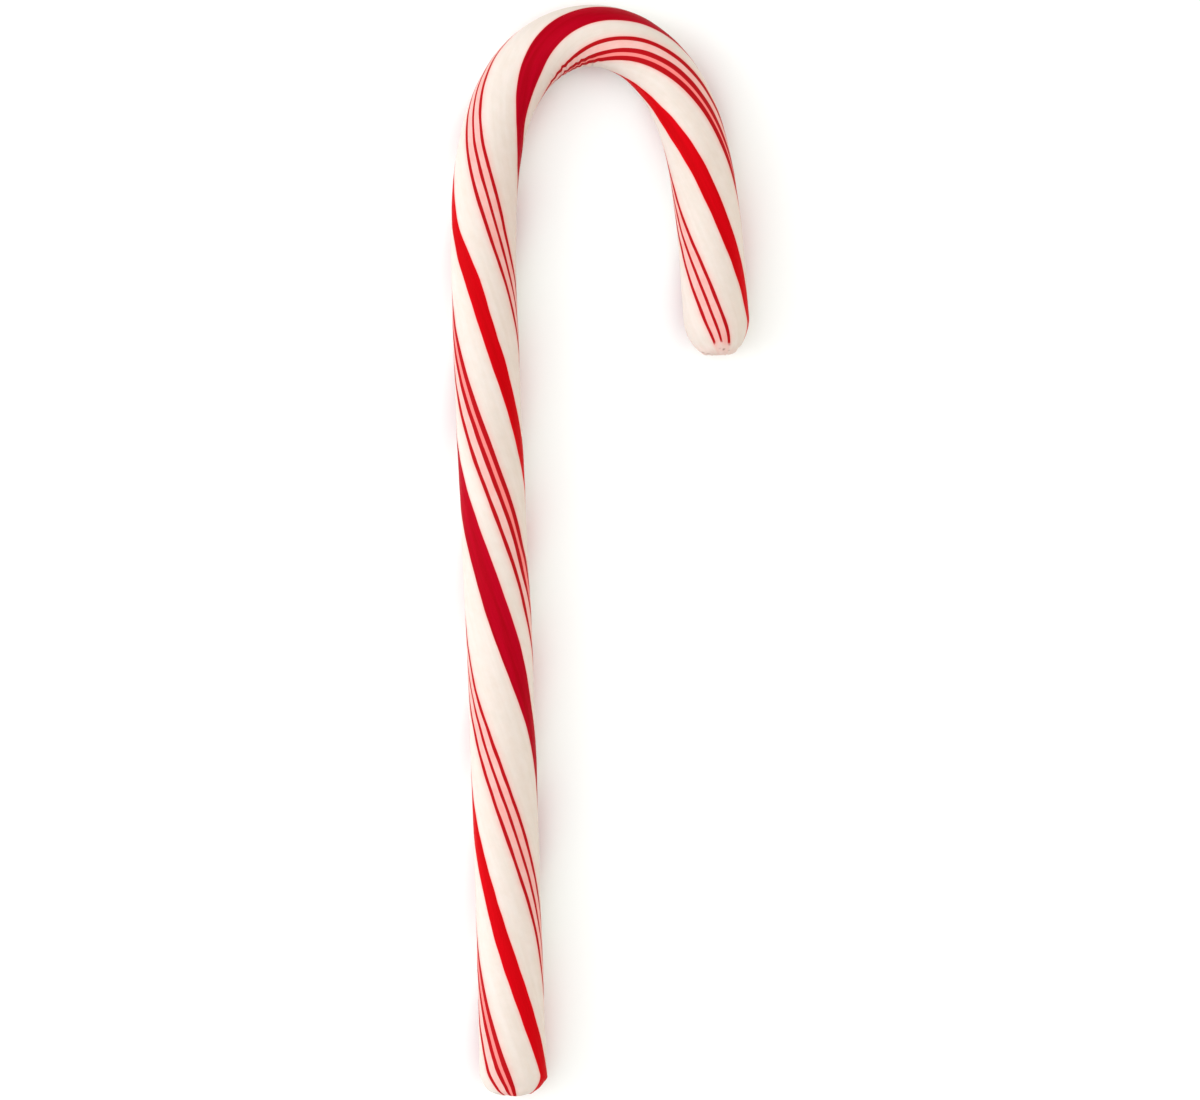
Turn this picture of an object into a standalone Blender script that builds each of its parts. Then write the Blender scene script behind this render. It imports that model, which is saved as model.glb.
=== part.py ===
"""Candy cane: one rod of pulled sugar, bent into a hook while it was warm.

The cane lies on its side. Its straight stem runs along Y, its hook turns at the
+Y end towards +X, and the side that faces up is the one to look at. Metres, +Z up.
"""
import math

import bmesh
import bpy
from mathutils import Vector

# Driving dimensions
ROD_DIAMETER = 0.00835     # the rod across, measured square to the table
ROD_LENGTH = 0.1905        # along the middle of the rod, from cut end to tip
CROWN_DISTANCE = 0.1420    # along the rod, from the cut end to the top of the hook
CROWN_RADIUS = 0.01002     # of the rod's middle line at the top of the hook
BEND_REACH = 0.01748       # how far along the rod the bend spreads, each way
BEND_SHAPE = 1.63          # 2 is a bell curve, and lower gives a longer, softer run-out
STEM_SWAY = 0.00026        # the hand-rolled stem bows this far to the hook's side
SWAY_LENGTH = 0.1002       # the stretch of stem that bows
CROWN_SQUEEZE = 0.00050    # the rod is this much thinner across where it is bent
END_SWELL = 0.00035        # and this much thicker across at its cut end
SWELL_LENGTH = 0.009       # the stretch that swells
CUT_FLAT_RADIUS = 0.0020   # the flat middle of the cut end
TIP_FLAT_RADIUS = 0.00155  # and of the tip
END_ROUNDING = 0.0044      # both ends round off over this length
END_SHAPE = 1.6            # 2 is a quarter ellipse, and lower is closer to a chamfer
REST_DEPTH = 0.00008       # taken off the underside, so that the cane lies on a flat strip

# Fineness of the solid
SIDES = 32
TURN_PER_RING = math.radians(3.2)
LONGEST_STEP = 0.006
WALK_STEP = 0.0001
ROUNDING_RINGS = 9

SUGAR_COLOUR = (0.93, 0.86, 0.78, 1.0)
SUGAR_ROUGHNESS = 0.35


def bend_rate(distance):
    """How sharply the rod turns, in radians per metre, this far from its cut end."""
    away = abs(distance - CROWN_DISTANCE) / BEND_REACH
    return math.exp(-away ** BEND_SHAPE) / CROWN_RADIUS


def stem_sway(distance):
    """How far the stem bows sideways, with no kink where the bow begins and ends."""
    along = min(distance / SWAY_LENGTH, 1.0)
    return STEM_SWAY * math.sin(math.pi * along) ** 2


def walk_rod():
    """Follow the rod from its cut end: (distance, heading, x, y) at short steps."""
    steps = round(ROD_LENGTH / WALK_STEP)
    step = ROD_LENGTH / steps
    heading = 0.0
    x = 0.0
    y = 0.0
    walk = [(0.0, heading, x, y)]
    for index in range(steps):
        middle = (index + 0.5) * step
        half_turn = bend_rate(middle) * step / 2
        heading += half_turn
        x += math.sin(heading) * step
        y += math.cos(heading) * step
        heading += half_turn
        walk.append(((index + 1) * step, heading, x, y))
    return walk


def end_rounding(distance):
    """The rod's size near its ends: 1 along the rod, less where an end rounds off."""
    from_tip = ROD_LENGTH - distance
    if distance < from_tip:
        gap, flat_radius = distance, CUT_FLAT_RADIUS
    else:
        gap, flat_radius = from_tip, TIP_FLAT_RADIUS
    inward = max(0.0, 1.0 - gap / END_ROUNDING)
    bulge = (1.0 - inward ** END_SHAPE) ** (1.0 / END_SHAPE)
    flat_share = flat_radius / (ROD_DIAMETER / 2)
    return flat_share + (1.0 - flat_share) * bulge


def half_width(distance):
    """Half the rod across in the plane of the hook."""
    squeeze = CROWN_SQUEEZE * bend_rate(distance) * CROWN_RADIUS
    swell = END_SWELL * math.exp(-distance / SWELL_LENGTH)
    return (ROD_DIAMETER - squeeze + swell) / 2 * end_rounding(distance)


def half_height(distance):
    """Half the rod square to the table. It has no squeeze, so the cane lies flat."""
    return ROD_DIAMETER / 2 * end_rounding(distance)


def ring_stations(walk):
    """Where the rings go: close together at the ends and round the bend."""
    rounding = [END_ROUNDING * (1.0 - math.cos(math.pi / 2 * index / ROUNDING_RINGS))
                for index in range(ROUNDING_RINGS + 1)]
    stations = list(rounding)
    last_distance, last_heading = rounding[-1], walk[0][1]
    for distance, heading, _, _ in walk:
        if distance <= rounding[-1] or distance >= ROD_LENGTH - rounding[-1]:
            continue
        if distance - last_distance >= LONGEST_STEP or heading - last_heading >= TURN_PER_RING:
            stations.append(distance)
            last_distance, last_heading = distance, heading
    tip_stations = [ROD_LENGTH - gap for gap in reversed(rounding)]
    if tip_stations[0] - stations[-1] < LONGEST_STEP / 6:
        stations.pop()
    return stations + tip_stations


def ring_points(walk, distance):
    """One ring of the rod: an ellipse across it, cut level along the underside."""
    index = round(distance / ROD_LENGTH * (len(walk) - 1))
    _, heading, x, y = walk[index]
    sideways = Vector((math.cos(heading), -math.sin(heading), 0.0))
    middle = Vector((x + stem_sway(distance), y, 0.0))
    across = half_width(distance)
    upward = half_height(distance)
    lowest = REST_DEPTH - ROD_DIAMETER / 2
    points = []
    for side in range(SIDES):
        angle = 2 * math.pi * side / SIDES
        height = max(lowest, upward * math.sin(angle))
        points.append(middle + sideways * across * math.cos(angle) + Vector((0, 0, height)))
    return points


def sugar_material():
    material = bpy.data.materials.new("sugar")
    material.use_nodes = True
    shader = material.node_tree.nodes["Principled BSDF"]
    shader.inputs["Base Color"].default_value = SUGAR_COLOUR
    shader.inputs["Roughness"].default_value = SUGAR_ROUGHNESS
    shader.inputs["Metallic"].default_value = 0.0
    return material


def centre_on_table(mesh):
    """Put the middle of the cane's box over the origin, and its underside at Z = 0."""
    corners = [[vertex.co[axis] for vertex in mesh.vertices] for axis in range(3)]
    middle_x = (min(corners[0]) + max(corners[0])) / 2
    middle_y = (min(corners[1]) + max(corners[1])) / 2
    lowest = min(corners[2])
    for vertex in mesh.vertices:
        vertex.co -= Vector((middle_x, middle_y, lowest))


def build_cane():
    walk = walk_rod()
    form = bmesh.new()
    rings = []
    for distance in ring_stations(walk):
        rings.append([form.verts.new(point) for point in ring_points(walk, distance)])
    for near, far in zip(rings, rings[1:]):
        for side in range(SIDES):
            beside = (side + 1) % SIDES
            form.faces.new((near[side], near[beside], far[beside], far[side]))
    form.faces.new(rings[0])
    form.faces.new(list(reversed(rings[-1])))
    bmesh.ops.recalc_face_normals(form, faces=form.faces)
    mesh = bpy.data.meshes.new("cane")
    form.to_mesh(mesh)
    form.free()
    centre_on_table(mesh)
    mesh.shade_smooth()
    mesh.set_sharp_from_angle(angle=math.radians(40))
    mesh.materials.append(sugar_material())
    cane = bpy.data.objects.new("cane", mesh)
    bpy.context.scene.collection.objects.link(cane)


for leftover in list(bpy.data.objects):
    bpy.data.objects.remove(leftover, do_unlink=True)
build_cane()
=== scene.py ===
import math
import bpy
import numpy as np
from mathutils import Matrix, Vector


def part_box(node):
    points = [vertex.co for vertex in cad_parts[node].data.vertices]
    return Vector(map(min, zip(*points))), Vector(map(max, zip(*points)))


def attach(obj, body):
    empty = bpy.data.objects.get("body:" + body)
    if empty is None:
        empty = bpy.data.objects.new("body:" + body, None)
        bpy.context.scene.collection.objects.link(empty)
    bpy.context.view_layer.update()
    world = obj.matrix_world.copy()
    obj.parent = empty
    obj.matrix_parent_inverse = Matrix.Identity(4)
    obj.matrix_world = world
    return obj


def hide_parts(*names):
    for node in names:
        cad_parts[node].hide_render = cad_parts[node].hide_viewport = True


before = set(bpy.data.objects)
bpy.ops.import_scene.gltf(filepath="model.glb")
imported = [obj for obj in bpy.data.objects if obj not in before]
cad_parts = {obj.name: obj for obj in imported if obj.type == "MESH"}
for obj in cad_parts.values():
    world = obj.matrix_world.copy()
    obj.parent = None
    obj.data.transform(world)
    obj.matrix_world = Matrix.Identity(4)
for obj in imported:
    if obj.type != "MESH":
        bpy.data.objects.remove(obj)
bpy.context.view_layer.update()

mm = 0.001
fullTurn = 360.0

# the pulled-sugar rod, in millimetres
# "distance" always runs along its middle, from the foot to the hook's tip
rod = {
    "diameter": 8.35,
    "length": 190.5,
    "crownDistance": 142.0,
    "crownRadius": 10.02,
    "bendReach": 17.48,
    "bendShape": 1.63,
    "stemSway": 0.26,
    "swayLength": 100.2,
    "crownSqueeze": 0.50,
    "endSwell": 0.35,
    "swellLength": 9.0,
    "cutFlatRadius": 2.0,
    "tipFlatRadius": 1.55,
    "endRounding": 4.4,
    "endShape": 1.6,
    "restDepth": 0.08,
    "outerSquarer": 0.6,
    "innerSquarer": 1.2,
    "innerShape": 1.15,
}

# how the stripes wind: degrees for each millimetre, tighter round the bend, with two slow wavers
# (degrees, length, start) from uneven pulling and one slip (distance, reach, degrees) from the bending
twist = {
    "perMillimetre": 4.343,
    "tighter": 1.825,
    "tightAt": 132.7,
    "tightReach": 21.1,
    "wavers": [(-4.49, 137.0, 6.1), (-0.93, 34.4, 22.9)],
    "slip": (141.5, 10.0, -5.5),
}


def bendRate(distance):
    reach = np.abs(distance - rod["crownDistance"]) / rod["bendReach"]
    return np.exp(-reach ** rod["bendShape"]) / rod["crownRadius"]


def twistRate(distance):
    reach = (distance - twist["tightAt"]) / twist["tightReach"]
    return twist["perMillimetre"] + twist["tighter"] * np.exp(-reach ** 2)


def runningSum(values, step):
    return np.concatenate([[0.0], np.cumsum(values) * step])


# walk the middle line in short steps, then read it anywhere in between
walkStep = 0.05
walkCount = int(round(rod["length"] / walkStep))
walkDistance = np.arange(walkCount + 1) * walkStep
walkMiddle = walkDistance[:-1] + walkStep / 2
walkHeading = runningSum(bendRate(walkMiddle), walkStep)
headingBetween = (walkHeading[:-1] + walkHeading[1:]) / 2
walkX = runningSum(np.sin(headingBetween), walkStep)
walkX = walkX + rod["stemSway"] * np.sin(np.pi * np.minimum(walkDistance / rod["swayLength"], 1.0)) ** 2
walkY = runningSum(np.cos(headingBetween), walkStep)
walkTwist = runningSum(twistRate(walkMiddle), walkStep)


def middleLine(distance):
    x = np.interp(distance, walkDistance, walkX)
    y = np.interp(distance, walkDistance, walkY)
    heading = np.interp(distance, walkDistance, walkHeading)
    return x, y, heading


def twistAngle(distance):
    angle = np.interp(distance, walkDistance, walkTwist)
    for size, length, start in twist["wavers"]:
        angle = angle + size * np.sin(2 * np.pi * (distance - start) / length)
    centre, reach, degrees = twist["slip"]
    return angle + degrees * np.exp(-((distance - centre) / reach) ** 2)


def oneEnd(gap, flatRadius, shape):
    inward = np.clip(1.0 - gap / rod["endRounding"], 0.0, 1.0)
    bulge = (1.0 - inward ** shape) ** (1.0 / shape)
    flatShare = flatRadius / (rod["diameter"] / 2)
    return flatShare + (1.0 - flatShare) * bulge


def halfSizes(distance, turned):
    # the cut end is squarer on the stem's outer side, and on its inner side it has a short straight chamfer
    outerSide = np.maximum(-np.sin(turned), 0.0) ** 2
    innerSide = np.maximum(np.sin(turned), 0.0) ** 2
    squarer = 1.0 + rod["outerSquarer"] * outerSide + rod["innerSquarer"] * innerSide
    footShape = rod["endShape"] + (rod["innerShape"] - rod["endShape"]) * innerSide
    rounding = oneEnd(distance * squarer, rod["cutFlatRadius"], footShape)
    rounding = rounding * oneEnd(rod["length"] - distance, rod["tipFlatRadius"], rod["endShape"])
    squeeze = rod["crownSqueeze"] * bendRate(distance) * rod["crownRadius"]
    swell = rod["endSwell"] * np.exp(-distance / rod["swellLength"])
    halfWide = (rod["diameter"] - squeeze + swell) / 2 * rounding
    halfTall = rod["diameter"] / 2 * rounding
    return halfWide, halfTall


def hill(distance, centre, reach):
    return np.exp(-((distance - centre) / reach) ** 2)


def smoothRamp(value, low, high):
    part = np.clip((value - low) / (high - low), 0.0, 1.0)
    return part * part * (3.0 - 2.0 * part)


def wander(distance, seed, shortest, longest, waves=7):
    # a smooth random line of about unit height
    dice = np.random.default_rng(seed)
    line = np.zeros_like(distance)
    for wave in range(waves):
        length = math.exp(dice.uniform(math.log(shortest), math.log(longest)))
        line = line + np.sin(2 * np.pi * (distance / length + dice.random()))
    return line * math.sqrt(2.0 / waves)


def skinNoise(distance, angle, seed, shortest, longest, mostTurns, waves=24):
    # a smooth random field over the skin that closes on itself round the rod
    dice = np.random.default_rng(seed)
    field = np.zeros(np.broadcast(distance, angle).shape)
    for wave in range(waves):
        length = math.exp(dice.uniform(math.log(shortest), math.log(longest)))
        turns = int(dice.integers(-mostTurns, mostTurns + 1))
        phase = dice.random()
        field = field + np.sin(2 * np.pi * (distance / length + turns * angle / fullTurn + phase))
    return field * math.sqrt(2.0 / waves)


# every stripe: its two edges round the rod in degrees, and where along the rod an edge drifts
# off its line: (distance, reach, degrees)
stripes = {
    "edgeSoftness": 0.9,
    "edgeWander": 0.25,
    "wanderLengths": (3.0, 25.0),
    "hookFrom": 117.5,
    "hookTo": 145.5,
    "lineRise": 0.42,
    "lineShoulder": (-1.5, 2.2),
    "broadShoulder": (-5.0, 4.0),
    "crimsonShoulder": (3.0, 8.0),
    "broad": {
        "edges": (59.1, 87.5),
        "lowDrift": [(2, 6, 4.0), (28, 5, 3.0), (82.5, 5, -2.0), (103.5, 5, 3.2),
                     (156, 5.5, 4.4), (165.5, 7, -1.5)],
        "highDrift": [(2, 8, 4.0), (23.5, 6, -0.8), (87.5, 4, -3.4), (104.5, 4, 5.2),
                      (112, 3, -4.0), (160.5, 4, 4.4), (182.5, 4, -2.4), (189.5, 2.5, -9.0)],
    },
    "deep": {
        "edges": (243.6, 288.1),
        "lowDrift": [(46, 6, 4.5), (70.5, 6, 4.5), (125, 5, 3.8), (138.5, 4, -3.8),
                     (190.5, 4.5, 12.0)],
        "highDrift": [(0, 4, -15.0), (46.5, 7, -12.0), (74.5, 8, 2.4), (124.5, 5.5, -17.0),
                      (140.5, 5, -2.6)],
    },
    "trio": {
        "middles": (140.5, 158.0, 174.5),
        "widths": (6.4, 5.6, 6.3),
        "drift": [[(21.5, 4, 2.2), (107.5, 6, -2.0), (171.5, 5, 4.6)],
                  [(106.5, 5, -3.1), (117.5, 4, 1.3), (174.5, 4, 3.0)],
                  [(51.5, 3, -2.2), (108.5, 4, -4.6), (117.5, 5, 2.0), (179.5, 4, 3.0)]],
    },
    "lead": {
        "middles": (326.3, 347.4, 363.6),
        "widths": (7.4, 8.3, 9.1),
        "inHook": (1.2, 1.4, 1.4),
        "drift": [[(60.5, 4, -3.6), (79.5, 6, 1.2), (138.5, 5, 2.8), (148.5, 4, -1.6)],
                  [(66.5, 4, -3.6), (83.5, 6, 1.3), (142.5, 5, 5.0), (150.5, 4, -0.2)],
                  [(4.5, 5, -1.3), (69.5, 4, -2.8), (144.5, 4, 4.6), (151.0, 3, 0.6), (164.5, 5, -1.7)]],
    },
}


def drifted(distance, hills):
    line = 0.0 * distance
    for centre, reach, degrees in hills:
        line = line + degrees * hill(distance, centre, reach)
    return line


# creases squeezed up where the inside of the bend is pressed together
crease = {
    "depth": 0.10,
    "unevenDepth": 0.25,
    "middleHeight": 0.6,
    "from": 132.5,
    "to": 145.5,
    "fade": 3.0,
    "length": 1.45,
    "unevenLength": 0.25,
    "unevenReach": 1.7,
    "slant": 0.004,
    "roundness": 0.8,
    "sideAngle": 95.0,
    "spread": 58.0,
    "fullWithin": 0.95,
    "edgeJag": 3.6,
    "unevenJag": 0.45,
    "jagShift": 0.2,
    "shade": 0.42,
    "valleyBelow": 0.5,
}


def foldPhase(distance):
    return distance / crease["length"] + crease["unevenLength"] * np.sin(distance / crease["unevenReach"])


def foldHeight(distance, sideAngle):
    phase = foldPhase(distance) + crease["slant"] * sideAngle
    return np.abs(np.sin(np.pi * phase)) ** crease["roundness"]


def creasedHere(distance, sideAngle):
    along = smoothRamp(distance, crease["from"], crease["from"] + crease["fade"])
    along = along * (1 - smoothRamp(distance, crease["to"] - crease["fade"], crease["to"]))
    sideways = np.cos(np.radians(sideAngle - crease["sideAngle"]))
    return along * smoothRamp(sideways, math.cos(math.radians(crease["spread"])), crease["fullWithin"])


def jaggedEdge(distance, angle):
    # stripe edges are dragged to and fro by the creases
    saw = 2 * np.abs((foldPhase(distance) + crease["jagShift"]) % 1.0 - 0.5) - 0.5
    uneven = 1.0 + crease["unevenJag"] * wander(distance, 71, 1.2, 5.0)
    return 2 * crease["edgeJag"] * uneven * saw * creasedHere(distance, angle - twistAngle(distance))


def stripeEdges(distance):
    # name, kind, low edge and high edge of every stripe, in order round the rod
    inHook = smoothRamp(distance, stripes["hookFrom"], stripes["hookTo"])
    found = []

    def uneven(edge, seed):
        wandering = stripes["edgeWander"] * wander(distance, seed, *stripes["wanderLengths"])
        return edge + wandering + jaggedEdge(distance, edge)

    def put(name, kind, low, high, seed):
        found.append({"name": name, "kind": kind, "low": uneven(low, seed), "high": uneven(high, seed + 1)})

    def putBand(name, kind, seed):
        band = stripes[name]
        low = band["edges"][0] + drifted(distance, band["lowDrift"])
        high = band["edges"][1] + drifted(distance, band["highDrift"])
        put(name, kind, low, high, seed)

    def putLines(name, seed):
        family = stripes[name]
        for number, middle in enumerate(family["middles"]):
            centre = middle + drifted(distance, family["drift"][number])
            width = family["widths"][number] + family.get("inHook", (0, 0, 0))[number] * inHook
            put(name + str(number), "line", centre - width / 2, centre + width / 2, seed + 2 * number)

    putBand("broad", "scarlet", 11)
    putLines("trio", 21)
    putBand("deep", "crimson", 31)
    putLines("lead", 41)
    return found


# the mesh: rings along the rod, closer together round the bend and at both ends
rings = {
    "spacing": 0.32,
    "bendSpacing": 0.22,
    "bendFrom": 121.5,
    "bendTo": 159.5,
    "easing": 6.0,
    "lastGap": 0.15,
    "endRings": 30,
    "capRings": 4,
}


def ringStations():
    # (distance, share) for every ring: the share is below 1 only on the two end faces
    capShares = [(step + 1) / (rings["capRings"] + 1) for step in range(rings["capRings"])]
    stations = [(0.0, share) for share in capShares]
    rounding = rod["endRounding"] * (np.arange(rings["endRings"]) / rings["endRings"]) ** 2
    stations += [(float(gap), 1.0) for gap in rounding]
    distance = rod["endRounding"]
    lastDistance = rod["length"] - rod["endRounding"]
    while distance < lastDistance - rings["lastGap"]:
        stations.append((distance, 1.0))
        near = smoothRamp(distance, rings["bendFrom"] - rings["easing"], rings["bendFrom"])
        near = near * (1 - smoothRamp(distance, rings["bendTo"], rings["bendTo"] + rings["easing"]))
        distance += float(rings["spacing"] + (rings["bendSpacing"] - rings["spacing"]) * near)
    stations += [(float(rod["length"] - gap), 1.0) for gap in [rod["endRounding"]] + list(rounding[::-1])]
    stations += [(rod["length"], share) for share in capShares[::-1]]
    return stations


stations = ringStations()
ringDistance = np.array([station[0] for station in stations])
ringShare = np.array([station[1] for station in stations])
found = stripeEdges(ringDistance)
print("rod walked, %d rings, %d stripes" % (len(stations), len(found)))


# columns round the rod, in degrees: even inside a stripe, and closer together beside its edges
columnPlan = {
    "insideSpacing": 4.2,
    "narrowGap": 8.0,
    "narrowShares": (0.33, 0.67),
    "middlingGap": 20.0,
    "middlingShares": (0.1, 0.27, 0.5, 0.73, 0.9),
    "edgeSteps": (1.0, 2.4, 4.4, 7.2),
    "openSpacing": 4.9,
}


def gapShares(gap):
    # where the columns stand between two stripes, as shares of the gap
    if gap < columnPlan["narrowGap"]:
        return columnPlan["narrowShares"]
    if gap < columnPlan["middlingGap"]:
        return columnPlan["middlingShares"]
    near = [step / gap for step in columnPlan["edgeSteps"]]
    openGap = gap - 2 * columnPlan["edgeSteps"][-1]
    between = max(2, int(openGap / columnPlan["openSpacing"]))
    spread = [near[-1] + (1 - 2 * near[-1]) * (step + 1) / (between + 1) for step in range(between)]
    return near + spread + [1 - share for share in near[::-1]]


def ringColumns():
    # angles round the rod of every column, following the stripe edges from ring to ring
    soft = stripes["edgeSoftness"] / 2
    columns = []
    for index, stripe in enumerate(found):
        follower = found[(index + 1) % len(found)]
        turnOn = fullTurn if index == len(found) - 1 else 0.0
        low, high = stripe["low"], stripe["high"]
        columns += [low - soft, low + soft]
        width = float(np.mean(high - low))
        inside = max(2, int(width / columnPlan["insideSpacing"]))
        for step in range(inside):
            part = (step + 1) / (inside + 1)
            columns.append((low + soft) * (1 - part) + (high - soft) * part)
        columns += [high - soft, high + soft]
        gapFrom, gapTo = high + soft, follower["low"] + turnOn - soft
        for share in gapShares(float(np.mean(gapTo - gapFrom))):
            columns.append(gapFrom * (1 - share) + gapTo * share)
    return np.stack(columns, axis=1)


columnAngle = ringColumns()
ringCount, columnCount = columnAngle.shape
print("%d columns round the rod" % columnCount)


def outsideOf(angle, low, high):
    # degrees outside a stripe, below zero inside it, the short way round
    middle = (low + high) / 2
    away = np.abs((angle - middle + 180.0) % fullTurn - 180.0)
    return away - (high - low) / 2


# colour bleeding out of the fine lines into the sugar beside them
bleed = {
    "reach": 5.0,
    "strength": 0.50,
    "falloff": 1.3,
    "broadReach": 3.0,
    "broadStrength": 0.50,
    "broadFalloff": 1.2,
    "trioBetween": 0.62,
    "leadBetween": 0.52,
    "heavyBetween": 0.95,
    "betweenShoulder": (0.0, 2.0),
    "heavyShoulder": (0.5, 3.0),
}

# small marks where both ends were cut, those at the foot being a painted shadow line under the cut's rim:
# (distance from the end, sideways angle, reach along, reach round, strength)
marks = {
    "linesStop": 1.35,
    "raggedBy": 0.16,
    "raggedSoftness": 0.12,
    "blushBeyond": 0.45,
    "blushFade": (-0.6, 0.3),
    "tipBlush": 0.16,
    "tipBlushReach": 1.6,
    "spotFalloff": 1.5,
    # painted shade: the foot's spots draw the shadow line under the rim of the cut
    "foot": [(0.26, -64.0, 0.07, 17.0, 0.55), (0.14, 42.0, 0.06, 17.0, 0.35)],
    "tip": [(0.34, 63.0, 0.11, 10.0, 1.0), (0.13, 47.0, 0.06, 12.0, 0.6), (0.55, -16.0, 0.07, 4.5, 0.9),
            (0.42, -36.0, 0.05, 5.0, 0.35), (1.08, -29.0, 0.07, 3.0, 0.5), (0.68, -4.0, 0.05, 3.5, 0.3)],
}


shownMasks = ("stripe", "crimson", "line", "blush", "flush", "specksAndShade")


def paintMasks():
    masks = {name: np.zeros(columnAngle.shape) for name in shownMasks + ("proud",)}
    soft = stripes["edgeSoftness"]
    edges = {}
    for stripe in found:
        low, high = stripe["low"][:, None], stripe["high"][:, None]
        edges[stripe["name"]] = (low, high)
        outside = outsideOf(columnAngle, low, high)
        inside = np.clip(0.5 - outside / soft, 0.0, 1.0)
        if stripe["kind"] == "line":
            masks["line"] = np.maximum(masks["line"], inside)
            fade = np.exp(-(np.maximum(outside, 0.0) / bleed["reach"]) ** bleed["falloff"])
            masks["blush"] = np.maximum(masks["blush"], bleed["strength"] * fade)
            rise = stripes["lineRise"] * (1 - smoothRamp(outside, *stripes["lineShoulder"]))
            masks["proud"] = np.maximum(masks["proud"], rise)
        else:
            masks["stripe"] = np.maximum(masks["stripe"], inside)
            fade = np.exp(-(np.maximum(outside, 0.0) / bleed["broadReach"]) ** bleed["broadFalloff"])
            masks["blush"] = np.maximum(masks["blush"], bleed["broadStrength"] * fade)
            rise = 1 - smoothRamp(outside, *stripes["broadShoulder"])
            masks["proud"] = np.maximum(masks["proud"], rise)
        if stripe["kind"] == "crimson":
            around = 1 - smoothRamp(outside, *stripes["crimsonShoulder"])
            masks["crimson"] = np.maximum(masks["crimson"], around)
    for first, last, level in (("trio0", "trio1", "trioBetween"), ("trio1", "trio2", "trioBetween"),
                               ("lead0", "lead1", "leadBetween")):
        within = -outsideOf(columnAngle, edges[first][0], edges[last][1])
        between = bleed[level] * smoothRamp(within, *bleed["betweenShoulder"])
        masks["blush"] = np.maximum(masks["blush"], between)
    heavy = -outsideOf(columnAngle, edges["lead1"][0], edges["lead2"][1])
    masks["flush"] = bleed["heavyBetween"] * smoothRamp(heavy, *bleed["heavyShoulder"])

    # the stripes stop raggedly just short of the tip
    gap = rod["length"] - ringDistance[:, None]
    ragged = marks["linesStop"] + marks["raggedBy"] * skinNoise(0 * gap, columnAngle, 61, 5.0, 9.0, 24)
    reached = smoothRamp(gap, ragged - marks["raggedSoftness"], ragged + marks["raggedSoftness"])
    for name in ("stripe", "line", "flush"):
        masks[name] = masks[name] * reached
    leftOver = marks["blushBeyond"]
    fadeFrom, fadeTo = marks["blushFade"]
    reached = smoothRamp(gap, ragged + fadeFrom, ragged + fadeTo)
    masks["blush"] = masks["blush"] * (leftOver + (1 - leftOver) * reached)
    tipBlush = marks["tipBlush"] * (1 - smoothRamp(gap, 0.0, marks["tipBlushReach"]))
    masks["blush"] = np.maximum(masks["blush"], tipBlush)
    sideAngle = (columnAngle - twistAngle(ringDistance[:, None]) + 180) % fullTurn - 180
    for end, fromEnd in (("foot", ringDistance[:, None]), ("tip", gap)):
        for along, around, alongReach, aroundReach, strength in marks[end]:
            spot = ((fromEnd - along) / alongReach) ** 2 + ((sideAngle - around) / aroundReach) ** 2
            masks["specksAndShade"] = np.maximum(masks["specksAndShade"], strength * np.exp(-spot ** marks["spotFalloff"]))
    masks["specksAndShade"] = masks["specksAndShade"] * (ringShare[:, None] > 0.99)
    # painted shade: the valleys between the creases are darkened as if in shadow
    valley = 1 - smoothRamp(foldHeight(ringDistance[:, None], sideAngle), 0.0, crease["valleyBelow"])
    pressed = creasedHere(ringDistance[:, None], sideAngle) ** 2
    masks["specksAndShade"] = np.maximum(masks["specksAndShade"], crease["shade"] * valley * pressed)
    return masks


masks = paintMasks()

# unevenness of the pulled sugar, in millimetres
relief = {
    "stripeProud": 0.03,
    "lumps": 0.025,
    "ripple": 0.008,
    "streaks": 0.006,
    "cutRoughness": 0.05,
    "cutReach": 2.2,
    "rimShare": 0.35,
}


def skinHeight(distance, share, angle, sideAngle):
    height = relief["stripeProud"] * masks["proud"]
    height = height + relief["lumps"] * skinNoise(distance, angle, 51, 18.0, 70.0, 2)
    height = height + relief["ripple"] * skinNoise(distance, angle, 52, 3.0, 12.0, 5)
    height = height + relief["streaks"] * skinNoise(distance, angle, 53, 30.0, 120.0, 26, 40)
    fold = foldHeight(distance, sideAngle)
    strength = 1 - crease["unevenDepth"] + crease["unevenDepth"] * skinNoise(distance, angle, 54, 1.5, 6.0, 8)
    pressed = crease["depth"] * creasedHere(distance, sideAngle)
    height = height + pressed * strength * (fold - crease["middleHeight"])
    # both ends were cut and pinched while soft
    nearFoot = 1 - smoothRamp(distance, 0.0, relief["cutReach"])
    nearTip = 1 - smoothRamp(rod["length"] - distance, 0.0, relief["cutReach"])
    rough = skinNoise(distance + 3 * share, angle, 55, 0.9, 4.0, 7)
    rough = rough * (relief["rimShare"] + (1 - relief["rimShare"]) * share)
    height = height + relief["cutRoughness"] * np.maximum(nearFoot, nearTip) * rough
    return height


def buildPoints():
    distance = ringDistance[:, None]
    share = ringShare[:, None]
    sideAngle = columnAngle - twistAngle(distance)
    turned = np.radians(sideAngle)
    x, y, heading = middleLine(distance)
    halfWide, halfTall = halfSizes(distance, turned)
    across = halfWide * share * np.sin(turned)
    up = halfTall * share * np.cos(turned)
    points = np.stack([x + np.cos(heading) * across, y - np.sin(heading) * across, up], axis=-1)
    aroundStep = np.roll(points, -1, axis=1) - np.roll(points, 1, axis=1)
    alongStep = np.gradient(points, axis=0)
    normal = np.cross(aroundStep, alongStep)
    normal = normal / np.maximum(np.linalg.norm(normal, axis=-1, keepdims=True), 1e-9)
    middle = np.stack([x, y, 0 * x], axis=-1)
    sideOut = np.sum((points - middle) * normal, axis=-1).mean()
    if sideOut < 0:
        normal = -normal
    height = skinHeight(distance, share, columnAngle, (sideAngle + 180) % fullTurn - 180)
    points = points + normal * height[..., None]
    points[..., 2] = np.maximum(points[..., 2] + rod["diameter"] / 2 - rod["restDepth"], 0.0)
    return points


points = buildPoints()

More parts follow.
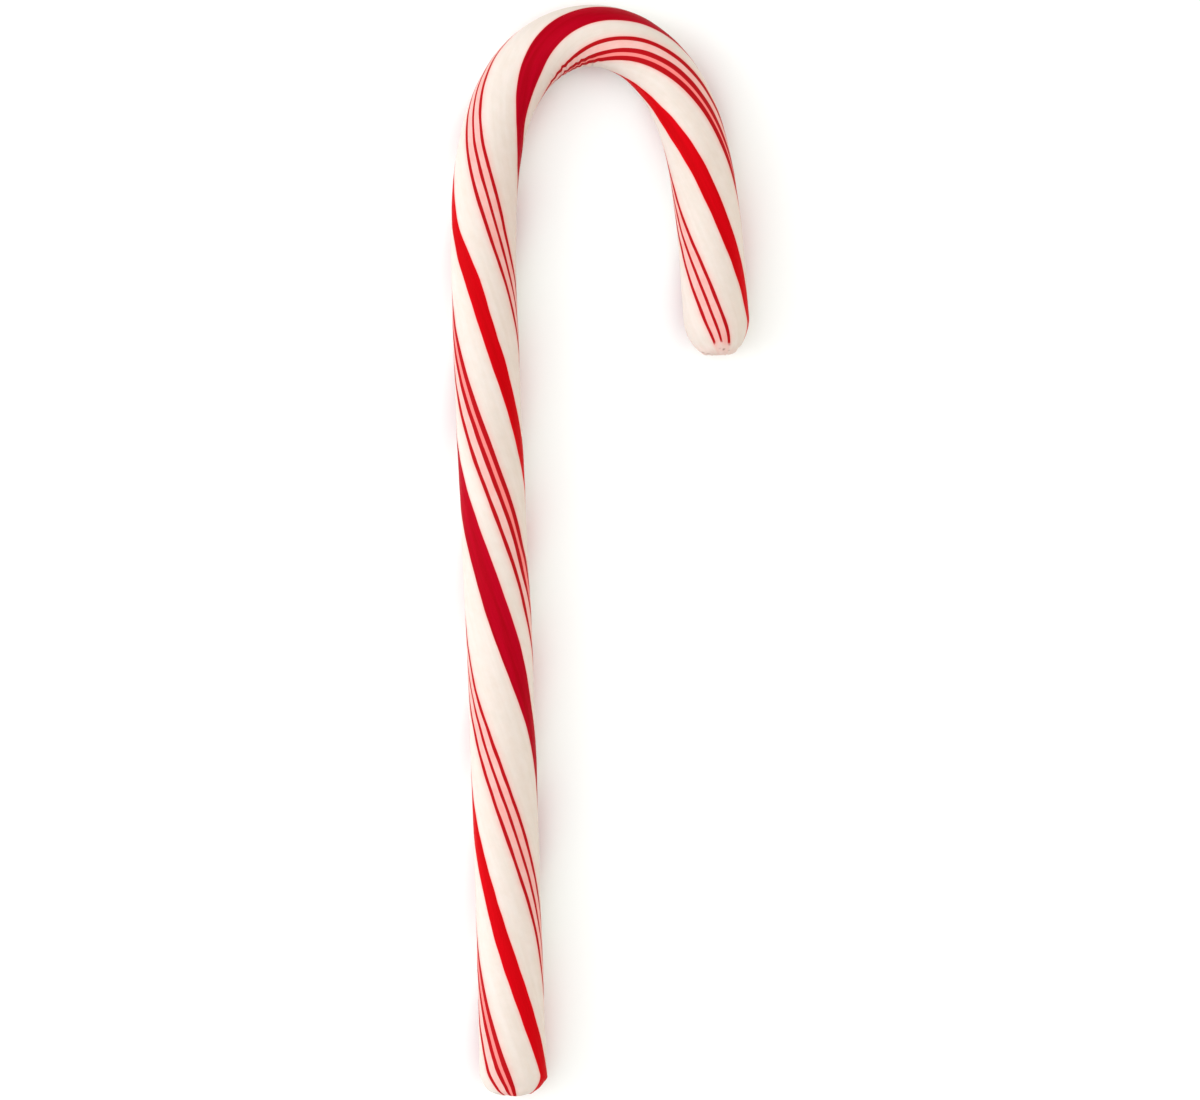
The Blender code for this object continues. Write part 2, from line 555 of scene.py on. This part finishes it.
# lay the walked rod over the solid's own place
low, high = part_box("cane")
plain = np.stack([points[..., 0], points[..., 1]], axis=-1).reshape(-1, 2)
shift = (np.array([low[0] + high[0], low[1] + high[1]]) / mm - plain.min(axis=0) - plain.max(axis=0)) / 2
points[..., 0] += shift[0]
points[..., 1] += shift[1]
points[..., 2] += low[2] / mm


def buildMesh():
    ends = [points[0].mean(axis=0), points[-1].mean(axis=0)]
    coordinates = np.concatenate([points.reshape(-1, 3), np.array(ends)]) * mm
    index = np.arange(ringCount * columnCount).reshape(ringCount, columnCount)
    following = np.roll(index, -1, axis=1)
    quads = np.stack([index[:-1], following[:-1], following[1:], index[1:]], axis=-1).reshape(-1, 4)
    footPole, tipPole = ringCount * columnCount, ringCount * columnCount + 1
    faces = quads.tolist()
    faces += [[footPole, int(b), int(a)] for a, b in zip(index[0], following[0])]
    faces += [[tipPole, int(a), int(b)] for a, b in zip(index[-1], following[-1])]
    mesh = bpy.data.meshes.new("sugarRod")
    mesh.from_pydata(coordinates.tolist(), [], faces)
    mesh.update()
    mesh.polygons.foreach_set("use_smooth", np.ones(len(mesh.polygons), dtype=bool))
    return mesh


def addMask(mesh, name, values):
    poles = [values[0].mean(), values[-1].mean()]
    layer = mesh.attributes.new(name, "FLOAT", "POINT")
    layer.data.foreach_set("value", np.concatenate([values.reshape(-1), poles]).astype(np.float32))


def addRodSpace(mesh):
    # where each point lay on the straight rod before it was twisted and bent
    radius = rod["diameter"] / 2
    turned = np.radians(columnAngle)
    reach = radius * ringShare[:, None]
    along = ringDistance[:, None] + 0 * columnAngle
    space = np.stack([along, reach * np.cos(turned), reach * np.sin(turned)], axis=-1)
    poles = np.array([[0.0, 0.0, 0.0], [rod["length"], 0.0, 0.0]])
    values = np.concatenate([space.reshape(-1, 3), poles]).astype(np.float32)
    layer = mesh.attributes.new("rodSpace", "FLOAT_VECTOR", "POINT")
    layer.data.foreach_set("vector", values.reshape(-1))


def addUnwrap(mesh, bands=3):
    # the skin unrolled into a few strips, one above the other
    poleRoom = 0.3
    steps = np.linalg.norm(np.diff(points, axis=0), axis=-1).mean(axis=1)
    run = np.concatenate([[0.0], np.cumsum(steps)]) + poleRoom
    total = run[-1] + poleRoom
    band = np.minimum((run[:-1] / total * bands).astype(int), bands - 1)
    turn = (columnAngle.mean(axis=0) - columnAngle.mean(axis=0)[0]) / fullTurn
    turnEdge = np.concatenate([turn, [1.0]])
    margin = 0.012

    def place(runAt, turnAt, bandOf):
        first = total * bandOf / bands
        part = np.clip((runAt - first) / (total / bands + 2 * poleRoom), 0.0, 1.0)
        u = margin + (1 - 2 * margin) * part
        v = (bandOf + margin + (1 - 2 * margin) * turnAt) / bands
        return u, v

    quadCount = (ringCount - 1) * columnCount
    uv = np.zeros((quadCount * 4 + columnCount * 6, 2))
    bandGrid = np.repeat(band[:, None], columnCount, axis=1)
    runHere = np.repeat(run[:-1, None], columnCount, axis=1)
    runNext = np.repeat(run[1:, None], columnCount, axis=1)
    turnHere = np.repeat(turnEdge[None, :-1], ringCount - 1, axis=0)
    turnNext = np.repeat(turnEdge[None, 1:], ringCount - 1, axis=0)
    corners = [(runHere, turnHere), (runHere, turnNext), (runNext, turnNext), (runNext, turnHere)]
    placed = [np.stack(place(runAt, turnAt, bandGrid), axis=-1) for runAt, turnAt in corners]
    uv[:quadCount * 4] = np.stack(placed, axis=2).reshape(-1, 2)
    cursor = quadCount * 4
    for runPole, runRing, bandOf, order in ((0.0, run[0], 0, (1, 0)), (total, run[-1], bands - 1, (0, 1))):
        for column in range(columnCount):
            sides = (turnEdge[column], turnEdge[column + 1])
            three = [(runPole, sum(sides) / 2), (runRing, sides[order[0]]), (runRing, sides[order[1]])]
            for runAt, turnAt in three:
                uv[cursor] = place(runAt, turnAt, bandOf)
                cursor += 1
    layer = mesh.uv_layers.new(name="OFBake")
    layer.data.foreach_set("uv", uv.astype(np.float32).reshape(-1))


caneMesh = buildMesh()
for name in shownMasks:
    addMask(caneMesh, name, masks[name])
addRodSpace(caneMesh)
addUnwrap(caneMesh)
cane = bpy.data.objects.new("stripedCane", caneMesh)
bpy.context.scene.collection.objects.link(cane)
print("cane mesh: %d points, %d faces" % (len(caneMesh.vertices), len(caneMesh.polygons)))

# boiled sugar: colours are linear
sugar = {
    "white": (0.742, 0.67, 0.615, 1),
    "cream": (0.70, 0.62, 0.55, 1),
    "pink": (0.82, 0.285, 0.26, 1),
    "deepPink": (0.84, 0.225, 0.208, 1),
    "scarlet": (0.605, 0.0004, 0.005, 1),
    "scarletDark": (0.505, 0.0004, 0.003, 1),
    "crimson": (0.455, 0.0004, 0.014, 1),
    "crimsonDark": (0.355, 0.0004, 0.007, 1),
    "lineRed": (0.42, 0.005, 0.009, 1),
    # dark brown for the tip's specks and for painted shade: the foot's shadow line and the crease valleys
    "specksAndShade": (0.13, 0.032, 0.018, 1),
    "specular": 0.022,
    "roughLow": 0.40,
    "roughHigh": 0.54,
    "scatter": 0.12,
    "scatterColour": (1.0, 0.45, 0.35),
    "scatterReach": 0.0006,
    "grainDepth": 0.000012,
    "grainStrength": 0.6,
}

# the pattern in the sugar: noise scales in waves for each millimetre, and how much of each is mixed in
pattern = {
    "stretch": (0.05, 1.0, 1.0),
    "streaks": 1.6,
    "fineStreaks": 5.0,
    "clouds": 0.12,
    "mottle": 0.9,
    "grain": 7.0,
    "streakShare": 0.4,
    "cloudShare": 0.25,
    "mottleShare": 0.35,
    "paleFrom": 0.40,
    "paleTo": 0.60,
    "redFrom": 0.35,
    "redTo": 0.65,
    "bleedLeast": 0.8,
    "bleedMost": 1.2,
    "roughMottle": 0.6,
    "roughStreaks": 0.4,
    "bumpGrain": 0.6,
    "bumpStreaks": 0.8,
}


def sugarMaterial():
    material = bpy.data.materials.new("boiledSugar")
    material.use_nodes = True
    tree = material.node_tree
    tree.nodes.clear()
    output = tree.nodes.new("ShaderNodeOutputMaterial")
    shader = tree.nodes.new("ShaderNodeBsdfPrincipled")
    tree.links.new(shader.outputs["BSDF"], output.inputs["Surface"])

    def mask(name):
        node = tree.nodes.new("ShaderNodeAttribute")
        node.attribute_type = "GEOMETRY"
        node.attribute_name = name
        return node

    def noise(vector, scale, detail, seed, roughness=0.55):
        node = tree.nodes.new("ShaderNodeTexNoise")
        node.noise_dimensions = "4D"
        node.inputs["W"].default_value = seed
        node.inputs["Scale"].default_value = scale
        node.inputs["Detail"].default_value = detail
        node.inputs["Roughness"].default_value = roughness
        tree.links.new(vector, node.inputs["Vector"])
        return node.outputs["Fac"]

    def remap(value, fromLow, fromHigh, toLow, toHigh):
        node = tree.nodes.new("ShaderNodeMapRange")
        node.inputs["From Min"].default_value = fromLow
        node.inputs["From Max"].default_value = fromHigh
        node.inputs["To Min"].default_value = toLow
        node.inputs["To Max"].default_value = toHigh
        tree.links.new(value, node.inputs["Value"])
        return node.outputs["Result"]

    def combine(kind, first, second):
        node = tree.nodes.new("ShaderNodeMath")
        node.operation = kind
        for slot, value in zip(node.inputs, (first, second)):
            if isinstance(value, (int, float)):
                slot.default_value = value
            else:
                tree.links.new(value, slot)
        return node.outputs[0]

    def blend(factor, first, second):
        node = tree.nodes.new("ShaderNodeMix")
        node.data_type = "RGBA"
        tree.links.new(factor, node.inputs[0])
        for slot, value in ((node.inputs[6], first), (node.inputs[7], second)):
            if isinstance(value, tuple):
                slot.default_value = value
            else:
                tree.links.new(value, slot)
        return node.outputs[2]

    space = mask("rodSpace").outputs["Vector"]
    stretch = tree.nodes.new("ShaderNodeMapping")
    stretch.inputs["Scale"].default_value = pattern["stretch"]
    tree.links.new(space, stretch.inputs["Vector"])
    streaks = noise(stretch.outputs["Vector"], pattern["streaks"], 4, 1.0)
    fineStreaks = noise(stretch.outputs["Vector"], pattern["fineStreaks"], 3, 2.0)
    clouds = noise(space, pattern["clouds"], 3, 3.0)
    mottle = noise(space, pattern["mottle"], 4, 4.0)
    grain = noise(space, pattern["grain"], 5, 5.0, 0.6)

    unevenness = combine("MULTIPLY", streaks, pattern["streakShare"])
    unevenness = combine("ADD", unevenness, combine("MULTIPLY", clouds, pattern["cloudShare"]))
    unevenness = combine("ADD", unevenness, combine("MULTIPLY", mottle, pattern["mottleShare"]))
    paleMix = remap(unevenness, pattern["paleFrom"], pattern["paleTo"], 0.0, 1.0)
    pale = blend(paleMix, sugar["white"], sugar["cream"])
    # the bleed is patchy, so the halo comes and goes along a line
    patch = remap(mottle, 0.3, 0.7, pattern["bleedLeast"], pattern["bleedMost"])
    softPink = blend(combine("MULTIPLY", mask("blush").outputs["Fac"], patch), pale, sugar["pink"])
    strongPink = blend(mask("flush").outputs["Fac"], softPink, sugar["deepPink"])
    redMix = remap(streaks, pattern["redFrom"], pattern["redTo"], 0.0, 1.0)
    scarlet = blend(redMix, sugar["scarlet"], sugar["scarletDark"])
    crimson = blend(redMix, sugar["crimson"], sugar["crimsonDark"])
    red = blend(mask("crimson").outputs["Fac"], scarlet, crimson)
    broad = blend(mask("stripe").outputs["Fac"], strongPink, red)
    lined = blend(mask("line").outputs["Fac"], broad, sugar["lineRed"])
    # specks at the tip, and painted shade at the foot's rim and in the crease valleys
    whole = blend(mask("specksAndShade").outputs["Fac"], lined, sugar["specksAndShade"])
    tree.links.new(whole, shader.inputs["Base Color"])

    roughBy = combine("MULTIPLY", mottle, pattern["roughMottle"])
    roughBy = combine("ADD", roughBy, combine("MULTIPLY", fineStreaks, pattern["roughStreaks"]))
    rough = remap(roughBy, 0.35, 0.65, sugar["roughLow"], sugar["roughHigh"])
    tree.links.new(rough, shader.inputs["Roughness"])
    shader.inputs["Specular IOR Level"].default_value = sugar["specular"]
    shader.inputs["Subsurface Weight"].default_value = sugar["scatter"]
    shader.inputs["Subsurface Radius"].default_value = sugar["scatterColour"]
    shader.inputs["Subsurface Scale"].default_value = sugar["scatterReach"]

    bump = tree.nodes.new("ShaderNodeBump")
    bump.inputs["Strength"].default_value = sugar["grainStrength"]
    bump.inputs["Distance"].default_value = sugar["grainDepth"]
    raisedBy = combine("MULTIPLY", grain, pattern["bumpGrain"])
    raisedBy = combine("ADD", raisedBy, combine("MULTIPLY", fineStreaks, pattern["bumpStreaks"]))
    tree.links.new(raisedBy, bump.inputs["Height"])
    tree.links.new(bump.outputs["Normal"], shader.inputs["Normal"])
    return material


caneMesh.materials.append(sugarMaterial())
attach(cane, "root")
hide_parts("cane")
print("sugar finish done")

# plain pale table
table = {
    "size": 3.0,
    "colour": (0.942, 0.98, 0.97, 1),
    "grainScale": 900.0,
    "grainShade": 0.99,
    "roughness": 0.85,
    "specular": 0.1,
}


def buildTable():
    half = table["size"] / 2
    mesh = bpy.data.meshes.new("paleTable")
    corners = [(-half, -half, 0), (half, -half, 0), (half, half, 0), (-half, half, 0)]
    mesh.from_pydata(corners, [], [(0, 1, 2, 3)])
    mesh.update()
    material = bpy.data.materials.new("palePaper")
    material.use_nodes = True
    tree = material.node_tree
    shader = tree.nodes["Principled BSDF"]
    place = tree.nodes.new("ShaderNodeTexCoord")
    noise = tree.nodes.new("ShaderNodeTexNoise")
    noise.inputs["Scale"].default_value = table["grainScale"]
    tree.links.new(place.outputs["Object"], noise.inputs["Vector"])
    ramp = tree.nodes.new("ShaderNodeMix")
    ramp.data_type = "RGBA"
    ramp.inputs[6].default_value = table["colour"]
    ramp.inputs[7].default_value = tuple(part * table["grainShade"] for part in table["colour"][:3]) + (1,)
    tree.links.new(noise.outputs["Fac"], ramp.inputs[0])
    tree.links.new(ramp.outputs[2], shader.inputs["Base Color"])
    shader.inputs["Roughness"].default_value = table["roughness"]
    shader.inputs["Specular IOR Level"].default_value = table["specular"]
    mesh.materials.append(material)
    floor = bpy.data.objects.new("paleTable", mesh)
    bpy.context.scene.collection.objects.link(floor)
    return floor


floor = buildTable()

# soft studio light: a bright even sky, strongest on the stem's outer side, with a warm fill opposite
studio = {
    "allRound": (0.03, 0.03, 0.03),
    "left": (1.55, 1.54, 1.55),
    "right": (1.14, 1.02, 0.88),
    "above": (1.70, 1.72, 1.75),
    "aboveSharpness": 4.0,
    "keyPower": 1.9,
    "keySize": 0.7,
    "keyPlace": (-0.75, 0.10, 0.38),
}


def buildLights():
    scene = bpy.context.scene
    scene.view_settings.view_transform = "Standard"
    scene.view_settings.look = "None"
    world = bpy.data.worlds.new("studio")
    scene.world = world
    world.use_nodes = True
    tree = world.node_tree
    background = tree.nodes["Background"]
    place = tree.nodes.new("ShaderNodeTexCoord")
    split = tree.nodes.new("ShaderNodeSeparateXYZ")
    tree.links.new(place.outputs["Generated"], split.inputs[0])

    def number(kind, first, second):
        node = tree.nodes.new("ShaderNodeMath")
        node.operation = kind
        tree.links.new(first, node.inputs[0])
        node.inputs[1].default_value = second
        return node.outputs[0]

    def tinted(colour, factor):
        node = tree.nodes.new("ShaderNodeVectorMath")
        node.operation = "SCALE"
        node.inputs[0].default_value = colour
        tree.links.new(factor, node.inputs["Scale"])
        return node.outputs[0]

    def plus(first, second):
        node = tree.nodes.new("ShaderNodeVectorMath")
        node.operation = "ADD"
        tree.links.new(first, node.inputs[0])
        if isinstance(second, tuple):
            node.inputs[1].default_value = second
        else:
            tree.links.new(second, node.inputs[1])
        return node.outputs[0]

    toLeft = number("MAXIMUM", number("MULTIPLY", split.outputs["X"], -1.0), 0.0)
    toRight = number("MAXIMUM", split.outputs["X"], 0.0)
    upward = number("POWER", number("MAXIMUM", split.outputs["Z"], 0.0), studio["aboveSharpness"])
    glow = plus(tinted(studio["left"], toLeft), studio["allRound"])
    glow = plus(glow, tinted(studio["right"], toRight))
    glow = plus(glow, tinted(studio["above"], upward))
    tree.links.new(glow, background.inputs["Color"])
    lamp = bpy.data.lights.new("key", "AREA")
    lamp.shape = "DISK"
    lamp.size = studio["keySize"]
    lamp.energy = studio["keyPower"]
    holder = bpy.data.objects.new("key", lamp)
    holder.location = studio["keyPlace"]
    aim = -holder.location
    holder.rotation_euler = aim.to_track_quat("-Z", "Y").to_euler()
    scene.collection.objects.link(holder)


buildLights()
print("table and lights done")

# the camera looks straight down, turned a little so that the stem leans
view = {
    "pictureWidth": 153.9,
    "lens": 200.0,
    "sensor": 36.0,
    "roll": 2.2,
    "levelHeight": 4.2,
}


def buildCamera():
    roll = math.radians(view["roll"])
    flat = points.reshape(-1, 3)
    right = flat[:, 0] * math.cos(roll) - flat[:, 1] * math.sin(roll)
    upward = flat[:, 0] * math.sin(roll) + flat[:, 1] * math.cos(roll)
    middleRight = (right.min() + right.max()) / 2
    middleUp = (upward.min() + upward.max()) / 2
    x = middleRight * math.cos(roll) + middleUp * math.sin(roll)
    y = -middleRight * math.sin(roll) + middleUp * math.cos(roll)
    data = bpy.data.cameras.new("camera")
    data.lens = view["lens"]
    data.sensor_width = view["sensor"]
    away = view["pictureWidth"] * view["lens"] / data.sensor_width
    camera = bpy.data.objects.new("camera", data)
    camera.location = (x * mm, y * mm, (view["levelHeight"] + away) * mm)
    camera.rotation_euler = (0.0, 0.0, -roll)
    bpy.context.scene.collection.objects.link(camera)
    bpy.context.scene.camera = camera


buildCamera()
